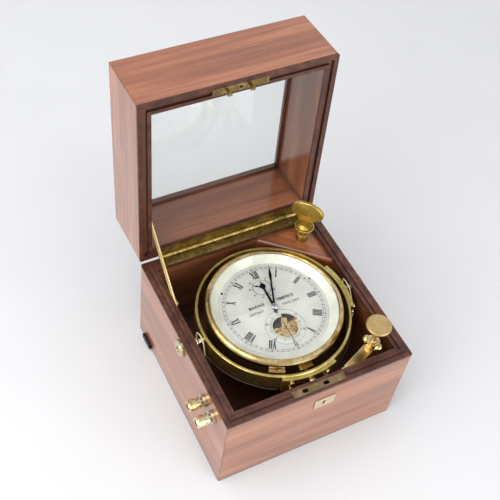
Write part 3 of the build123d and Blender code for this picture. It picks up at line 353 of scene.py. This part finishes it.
CAPPED = steel("Blued_Steel_With_Cap", cap=3.35)
PANE = glass("Clear_Glass")
DARK = plain_stock("Dark_Bronze", "1c1815", "2d2621", 0.4, 0.7)
SLEEVE = plain_stock("Lead_Sleeve", "2c1a14", "40261e", 0.5)
PALE_LEAD = plain_stock("Pale_Lead", "b8a883", "d2c6a2", 0.4)
INK = plain_stock("Dial_Black", "0f1013", "1b1c20", 0.35, fine=5.0, depth=0.004)
WELL = plate_in_shade("Pillar_Plate_Brass")

finish(HINGE, "case_hinge_leaf", "lid_hinge_leaf", "hinge_pin", "link_plate")
finish(STAY, "lid_stay")
finish(KEY, "key_head", "key_pipe")
finish(THUMB, "gimbal_lock_lever")
finish(LABEL, "keyhole_escutcheon")
finish(NUT, "terminal_nut_front", "terminal_nut_rear", "terminal_posts", "case_pivot_screws")
finish(BRIGHT, "lock_bracket", "ring_screws")
finish(RING, "gimbal_ring", "ring_plates")
finish(PLATE, "lock_body", "lock_bolt", "case_screws", "lid_screws")
finish(WELL, "pillar_plate")
finish(GILT, "contact_pieces", "back_plate", "pillars", "balance_cock", "barrel", "centre_wheel",
       "third_wheel", "fourth_wheel", "escape_wheel", "fusee", "balance")
finish(BEZEL, "bezel")
finish(BOWL, "bowl_shell", "winding_shutter")
finish(DIAL, "dial")
finish(SURROUND, "dial_surround")
finish(CAPPED, "minute_hand")
finish(BLUE, "hour_hand", "seconds_hand", "reserve_hand", "balance_spring")
finish(GREY, "fusee_chain")
finish(PANE, "bezel_glass", "lid_glass")
finish(DARK, "side_lug")
finish(SLEEVE, "case_leads", "ring_leads")


# ---------------------------------------------------------------- mesh tools
def show(name, form, body, material, smooth=False):
    """Turns a bmesh in metres into a piece that rides on a body."""
    bmesh.ops.recalc_face_normals(form, faces=form.faces)
    mesh = bpy.data.meshes.new(name)
    form.to_mesh(mesh)
    form.free()
    mesh.materials.append(material)
    if smooth:
        mesh.shade_smooth()
    piece = bpy.data.objects.new(name, mesh)
    bpy.context.scene.collection.objects.link(piece)
    if body:
        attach(piece, body)
    return piece


def slab(form, outline, z0, z1, place=Matrix.Identity(4)):
    """Adds a closed prism over an outline of points in millimetres."""
    low = [form.verts.new((place @ Vector((x, y, z0))) * MM) for x, y in outline]
    high = [form.verts.new((place @ Vector((x, y, z1))) * MM) for x, y in outline]
    form.faces.new(low[::-1])
    form.faces.new(high)
    for n in range(len(low)):
        k = (n + 1) % len(low)
        form.faces.new((low[n], low[k], high[k], high[n]))


def lathe(form, profile, steps, place=Matrix.Identity(4), tooth=0.0):
    """Adds a closed ring of revolution from a closed (radius, height) profile; a tooth above 0 moves every
    second meridian of the points marked True outwards."""
    rings = []
    for n in range(steps):
        a = 2 * pi * n / steps
        ring = []
        for r, z, toothed in profile:
            grown = r + (tooth if toothed and n % 2 else 0.0)
            ring.append(form.verts.new((place @ Vector((grown * cos(a), grown * sin(a), z))) * MM))
        rings.append(ring)
    for n in range(steps):
        here, after = rings[n], rings[(n + 1) % steps]
        for k in range(len(profile)):
            m = (k + 1) % len(profile)
            form.faces.new((here[k], here[m], after[m], after[k]))


def inked_ring(form, x, y, r, width, steps=160):
    """A thin raised circle on the dial."""
    inner, outer = r - width / 2, r + width / 2
    profile = [(inner, INK_LOW, False), (outer, INK_LOW, False), (outer, INK_TOP, False),
               (inner, INK_TOP, False)]
    lathe(form, profile, steps, Matrix.Translation((x, y, 0)))


def pipe(form, points, radius, sides=10, smooth_steps=8):
    """Adds a capped round tube along a smooth line through points in millimetres."""
    points = [Vector(p) for p in points]
    line = []
    ends = [2 * points[0] - points[1]] + points + [2 * points[-1] - points[-2]]
    for a, b, c, d in zip(ends, ends[1:], ends[2:], ends[3:]):
        for n in range(smooth_steps):
            t = n / smooth_steps
            line.append(0.5 * (2 * b + (c - a) * t + (2 * a - 5 * b + 4 * c - d) * t ** 2
                               + (3 * b - a - 3 * c + d) * t ** 3))
    line.append(points[-1])
    side = Vector((0.31, 0.17, 0.93))
    loops = []
    for n, spot in enumerate(line):
        way = (line[min(n + 1, len(line) - 1)] - line[max(n - 1, 0)]).normalized()
        side = (side - way * side.dot(way)).normalized()
        other = way.cross(side)
        loop = []
        for k in range(sides):
            a = 2 * pi * k / sides
            loop.append(form.verts.new((spot + (side * cos(a) + other * sin(a)) * radius) * MM))
        loops.append(loop)
    for here, after in zip(loops, loops[1:]):
        for k in range(sides):
            m = (k + 1) % sides
            form.faces.new((here[k], here[m], after[m], after[k]))
    form.faces.new(loops[0][::-1])
    form.faces.new(loops[-1])


# ---------------------------------------------------------------- dial markings
DIAL_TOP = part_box("dial")[1].z / MM
INK_LOW, INK_TOP = DIAL_TOP - 0.05, DIAL_TOP + 0.05
TRACK = (44.9, 47.0)                    # radii of the minute track
DOTS_R, DIAL_SCREW_R = 47.3, 49.4
HOUR_FOOT, HOUR_HEAD, SHORT_FOOT = 35.3, 43.9, 40.9
FULL_HEIGHT = 8.8                       # numeral height at which the strokes have their full width
THICK, THIN, SERIF = 1.32, 0.6, 0.13
SECONDS = (0.0, -22.0)                  # centres of the two small dials
RESERVE = (0.0, 25.0)
NOTCH = (10, 82)                        # where the aperture is wider, clockwise of twelve
RESERVE_HOURS, RESERVE_START, RESERVE_SWEEP = 56, 45, 270
SIZE = {"I": 1.75, "V": 3.3, "X": 3.7}  # width that each letter of a numeral takes


def clockwise(degrees_cw):
    """A turn that brings +Y to a direction given clockwise from twelve."""
    return Matrix.Rotation(-radians(degrees_cw), 4, "Z")


def stroke(form, a, b, width, place):
    """A flat bar between two points, cut level at both ends."""
    half = width / 2
    slab(form, [(a[0] - half, a[1]), (b[0] - half, b[1]), (b[0] + half, b[1]), (a[0] + half, a[1])],
         INK_LOW, INK_TOP, place)


def numeral(form, text, cw, low, high):
    """A Roman numeral that stands with its feet towards the centre."""
    place = clockwise(cw)
    size = (high - low) / FULL_HEIGHT
    squeeze = 0.55 + 0.45 * size
    total = sum(SIZE[c] for c in text) * squeeze
    x = -total / 2
    for letter in text:
        wide = SIZE[letter] * squeeze
        middle = x + wide / 2
        thick = THICK * squeeze
        reach = wide / 2 - 0.62 * squeeze
        if letter == "I":
            stroke(form, (middle, low), (middle, high), thick, place)
            marks = [(middle, low, 0.72), (middle, high, 0.72)]
        elif letter == "V":
            stroke(form, (middle + 0.1, low), (middle - reach, high), thick, place)
            stroke(form, (middle - 0.1, low), (middle + reach, high), THIN, place)
            marks = [(middle - reach, high, 0.8), (middle + reach, high, 0.62)]
        else:
            stroke(form, (middle + reach, low), (middle - reach, high), thick, place)
            stroke(form, (middle - reach, low), (middle + reach, high), THIN, place)
            marks = [(middle - reach, high, 0.75), (middle + reach, high, 0.6),
                     (middle - reach, low, 0.6), (middle + reach, low, 0.75)]
        for spot, level, half in marks:
            edge = SERIF if level == high else -SERIF
            a, b = spot - half * squeeze, spot + half * squeeze
            corners = [(a, level - edge), (b, level - edge), (b, level + edge), (a, level + edge)]
            slab(form, corners, INK_LOW, INK_TOP, place)
        x += wide


def tick(form, centre, cw, r0, r1, width):
    """A radial bar from one radius to another."""
    place = Matrix.Translation((*centre, 0)) @ clockwise(cw)
    half = width / 2
    slab(form, [(-half, r0), (half, r0), (half, r1), (-half, r1)], INK_LOW, INK_TOP, place)


def lettering(form, text, x, y, height, cw=0.0, spacing=1.0, bold=0.0):
    """Plain raised lettering, centred at a point on the dial."""
    curve = bpy.data.curves.new("Letters", "FONT")
    curve.body = text
    curve.size = height / 0.73
    curve.align_x, curve.align_y = "CENTER", "CENTER"
    curve.space_character = spacing
    curve.extrude = 0.05
    curve.offset = bold
    holder = bpy.data.objects.new("Letters", curve)
    mesh = bpy.data.meshes.new_from_object(holder)
    mesh.transform(Matrix.Scale(MM, 4) @ Matrix.Translation((x, y, DIAL_TOP)) @ clockwise(cw))
    form.from_mesh(mesh)
    bpy.data.meshes.remove(mesh)
    bpy.data.objects.remove(holder)
    bpy.data.curves.remove(curve)


def make_dial_markings():
    form = bmesh.new()
    for r in TRACK:
        inked_ring(form, 0, 0, r, 0.26)
    for n in range(60):
        tick(form, (0, 0), 6 * n, *TRACK, 0.75 if n % 5 == 0 else 0.5)
    for n in range(12):
        a = radians(30 * n)
        inked_ring(form, DOTS_R * sin(a), DOTS_R * cos(a), 0.24, 0.46, 16)
    names = ("XII", "I", "II", "III", "IIII", "V", "VI", "VII", "VIII", "IX", "X", "XI")
    for n, text in enumerate(names):
        low = SHORT_FOOT if text == "VI" else HOUR_FOOT
        numeral(form, text, 30 * n, low, HOUR_HEAD)
    show("dial_hours_and_minutes", form, "bowl", INK)

    form = bmesh.new()
    x, y = SECONDS
    inked_ring(form, x, y, 18.6, 0.24)
    for n in range(60):
        cw = 6 * n
        main = n % 5 == 0
        if NOTCH[0] < cw < NOTCH[1] and not main:
            continue
        outer = 15.4 if main else 14.2
        inner = 15.3 if NOTCH[0] < cw < NOTCH[1] else 12.6
        tick(form, SECONDS, cw, inner, outer, 0.5 if main else 0.3)
    for n in range(6):
        cw = 60 * n
        a = radians(cw)
        lettering(form, str(10 * n or 60), x + 16.9 * sin(a), y + 16.9 * cos(a), 2.1, cw, bold=0.05)
    x, y = RESERVE
    inked_ring(form, x, y, 8.3, 0.22, 96)
    for n in range(RESERVE_HOURS + 1):
        cw = RESERVE_START + RESERVE_SWEEP * n / RESERVE_HOURS
        main = n % 8 == 0
        tick(form, RESERVE, cw, 8.3, 10.2 if main else 9.2, 0.45 if main else 0.24)
        if main:
            a = radians(cw)
            lettering(form, str(n), x + 11.5 * sin(a), y + 11.5 * cos(a), 1.8, cw, bold=0.04)
    show("dial_small_scales", form, "bowl", INK)

    form = bmesh.new()
    lettering(form, "MARINE", -14.5, 7.0, 2.9, spacing=1.15, bold=0.13)
    lettering(form, "TIMEPIECE", 14.8, 7.0, 2.9, spacing=0.95, bold=0.13)
    lettering(form, "DETENT", -17.5, 0.4, 2.5, spacing=1.2, bold=0.09)
    lettering(form, "TWO DAY", 17.5, 0.4, 2.5, spacing=1.1, bold=0.09)
    show("dial_plain_lettering", form, "bowl", INK)

    form = bmesh.new()
    for cw in (-49, 70):
        a = radians(cw)
        spot = Matrix.Translation((DIAL_SCREW_R * sin(a), DIAL_SCREW_R * cos(a), 0))
        head = [(0.001, -0.1), (1.0, -0.1), (1.0, 0.25), (0.8, 0.42), (0.001, 0.45)]
        lathe(form, [(r, DIAL_TOP + z, False) for r, z in head], 24, spot)
    show("dial_screws", form, "bowl", BLUE)


# ---------------------------------------------------------------- knurling and screw slots
LOCK_AT = (65.4, -66.6)                 # axis of the gimbal lock
SLOT_LOW, SLOT_TOP = -0.1, 0.012        # the slots' bars below and above the screw heads
HINGE_SCREWS = [(-60 + 30 * n, 85.2) for n in range(5)]
PLATE_SCREWS_R = 76.8
RING_SCREWS = ((-105, 96), (-78, 96), (-105, 88), (-78, 88), (-17, 96), (16, 96), (-17, 88), (16, 88))


def knurl(name, body, material, r, z0, z1, steps, place, depth=0.22):
    """A toothed band laid on a turned rim."""
    form = bmesh.new()
    soft = min(0.5, (z1 - z0) / 4)
    profile = [(r - 0.3, z0, False), (r, z0, False), (r + 0.03, z0 + soft, True),
               (r + 0.03, z1 - soft, True), (r, z1, False), (r - 0.3, z1, False)]
    lathe(form, profile, steps, place, depth)
    show(name, form, body, material)


def make_knurling():
    low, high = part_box("key_pipe")
    upright = Matrix.Translation(((low.x + high.x) / 2 / MM, (low.y + high.y) / 2 / MM, 0))
    knurl("key_stem_ribs", "key_pipe", KEY, 4.48, 104.8, 110.2, 36, upright, 0.5)
    knurl("key_cup_knurl", "key_pipe", KEY, 9.18, 114.9, 115.9, 120, upright, 0.22)
    low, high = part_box("gimbal_lock_lever")
    top = high.z / MM
    upright = Matrix.Translation((*LOCK_AT, 0))
    knurl("lock_disc_knurl", "gimbal_lock", THUMB, 11.28, top - 2.2, top - 0.5, 180, upright, 0.25)
    for name in ("terminal_nut_front", "terminal_nut_rear"):
        low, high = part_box(name)
        y, z = (low.y + high.y) / 2 / MM, (low.z + high.z) / 2 / MM
        outward = Matrix.Translation((high.x / MM, y, z)) @ Matrix.Rotation(-pi / 2, 4, "Y")
        knurl(name + "_knurl", name, BRIGHT, 5.38, 4.3, 10.0, 72, outward, 0.08)


def slot_bar(form, at, way, normal, length, width):
    """A dark slot across a screw head: a thin bar on its face."""
    way, normal = Vector(way).normalized(), Vector(normal).normalized()
    side = normal.cross(way)
    place = Matrix((side, way, normal)).transposed().to_4x4()
    place = Matrix.Translation(at) @ place
    across, half = length / 2, width / 2
    corners = [(-half, -across), (half, -across), (half, across), (-half, across)]
    slab(form, corners, SLOT_LOW, SLOT_TOP, place)


def make_slots():
    """Slots of the hinge's, the link plate's and the gimbal ring's screws."""
    form = bmesh.new()
    for n, (x, y) in enumerate(HINGE_SCREWS):
        slot_bar(form, (x, y, 102.97), (1, 0.4 * n - 0.7, 0), (0, 0, 1), 4.0, 0.7)
    show("case_hinge_screw_slots", form, "case", INK)
    form = bmesh.new()
    back = Matrix.Rotation(-SHUT_TURN, 4, "X")
    about = Matrix.Translation(HINGE_AT) @ back @ Matrix.Translation(-HINGE_AT)
    swung = back.to_3x3()
    face = swung @ Vector((0, 0, -1))
    for n, (x, y) in enumerate(HINGE_SCREWS):
        way = swung @ Vector((1, 0.5 - 0.3 * n, 0))
        slot_bar(form, about @ Vector((x, y, 103.03)), way, face, 4.0, 0.7)
    for x in (-23, 21):
        way = swung @ Vector((1, 0.5, 0))
        slot_bar(form, about @ Vector((x, -85.25, 103.5)), way, face, 3.4, 0.6)
    show("lid_screw_slots", form, "lid", INK)
    form = bmesh.new()
    for deg, z in RING_SCREWS:
        out = Vector((cos(radians(deg)), sin(radians(deg)), 0))
        at = out * PLATE_SCREWS_R + Vector((0, 0, z))
        slot_bar(form, at, (0.3 * out.y, -0.3 * out.x, 1), out, 4.0, 0.6)
    show("ring_screw_slots", form, "gimbal_ring", INK)


# ---------------------------------------------------------------- leads that cross the gimbal's joints
LEFT_LEAD = ((-75.8, -1, 89), (-75.6, 3, 93), (-74.6, 5.5, 98), (-74.2, 2.5, 101.0),
             (-74.0, -3.0, 101.6), (-73.9, -7.5, 97.5), (-74.2, -10.6, 92.0), (-73.9, -11.8, 86.5),
             (-73.0, -10.3, 84.6))
RIGHT_LEAD = ((77, -5, 86), (77.6, 2, 92), (78.2, 7, 98.5), (78.2, 2.5, 100.5), (78.0, -5.0, 99.5),
              (77.4, -11.5, 94.5), (76.6, -18, 88), (73.0, -25, 85.0), (68.3, -27.6, 84.6))


def make_leads():
    """The pale loops between the case and the gimbal ring."""
    form = bmesh.new()
    pipe(form, LEFT_LEAD, 0.65)
    left = show("lead_left_to_ring", form, None, PALE_LEAD, True)
    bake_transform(left)
    form = bmesh.new()
    pipe(form, RIGHT_LEAD, 0.55)
    right = show("lead_right_to_ring", form, None, PALE_LEAD, True)
    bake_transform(right)


make_dial_markings()
make_knurling()
make_slots()
make_leads()


# ---------------------------------------------------------------- stage, light and camera
def area_light(name, at, aim, size, power, colour=(1, 1, 1)):
    data = bpy.data.lights.new(name, "AREA")
    data.shape = "RECTANGLE"
    data.size, data.size_y = size
    data.energy = power
    data.color = colour
    light = bpy.data.objects.new(name, data)
    bpy.context.scene.collection.objects.link(light)
    light.location = at
    light.rotation_mode = "QUATERNION"
    light.rotation_quaternion = (Vector(aim) - Vector(at)).to_track_quat("-Z", "Y")


def make_stage():
    mesh = bpy.data.meshes.new("Floor")
    form = bmesh.new()
    bmesh.ops.create_grid(form, x_segments=2, y_segments=2, size=4.0)
    form.to_mesh(mesh)
    form.free()
    floor = bpy.data.objects.new("Floor", mesh)
    bpy.context.scene.collection.objects.link(floor)
    floor.location.z = -0.0002
    look = Look("Floor_Paper")
    cloud = look.noise((0.01,) * 3, 2)
    colour = look.mix(cloud, tone("c6c6c7"), tone("cbcbcc"))
    mesh.materials.append(look.finish(Base_Color=colour, Roughness=0.8))
    world = bpy.data.worlds.new("Studio")
    bpy.context.scene.world = world
    world.use_nodes = True
    world.node_tree.nodes["Background"].inputs["Color"].default_value = (0.93, 0.95, 1.0, 1)
    world.node_tree.nodes["Background"].inputs["Strength"].default_value = 0.86
    middle = (0, 0.02, 0.1)
    area_light("Overhead", (-0.75, 0.1, 1.6), middle, (1.5, 1.4), 17, (1, 0.985, 0.96))
    area_light("Left_Window", (-1.6, -0.4, 0.9), middle, (1.4, 1.2), 18, (1, 1, 1))
    area_light("Front_Fill", (0.6, -1.7, 0.8), middle, (1.6, 1.1), 24, (1, 0.99, 0.97))


CAM_AIM = Vector((1.73, 74.46, 80.0)) * MM
CAM_DISTANCE = 0.88423
CAM_AZIMUTH, CAM_ELEVATION, CAM_ROLL = radians(-33.2), radians(51.85), radians(8.66)


def make_camera():
    data = bpy.data.cameras.new("Camera")
    data.sensor_width = 36.0
    data.lens = 65.62
    data.shift_x, data.shift_y = 0.0256, 0.0257
    data.clip_start = 0.05
    camera = bpy.data.objects.new("Camera", data)
    bpy.context.scene.collection.objects.link(camera)
    a, e = CAM_AZIMUTH, CAM_ELEVATION
    back = Vector((sin(a) * cos(e), -cos(a) * cos(e), sin(e)))
    right = Vector((cos(a), sin(a), 0))
    up = back.cross(right)
    across = right * cos(CAM_ROLL) + up * sin(CAM_ROLL)
    upward = up * cos(CAM_ROLL) - right * sin(CAM_ROLL)
    turn = Matrix((across, upward, back)).transposed().to_4x4()
    camera.matrix_world = Matrix.Translation(CAM_AIM + back * CAM_DISTANCE) @ turn
    bpy.context.scene.camera = camera


make_stage()
make_camera()
bpy.context.scene.view_settings.view_transform = "Standard"
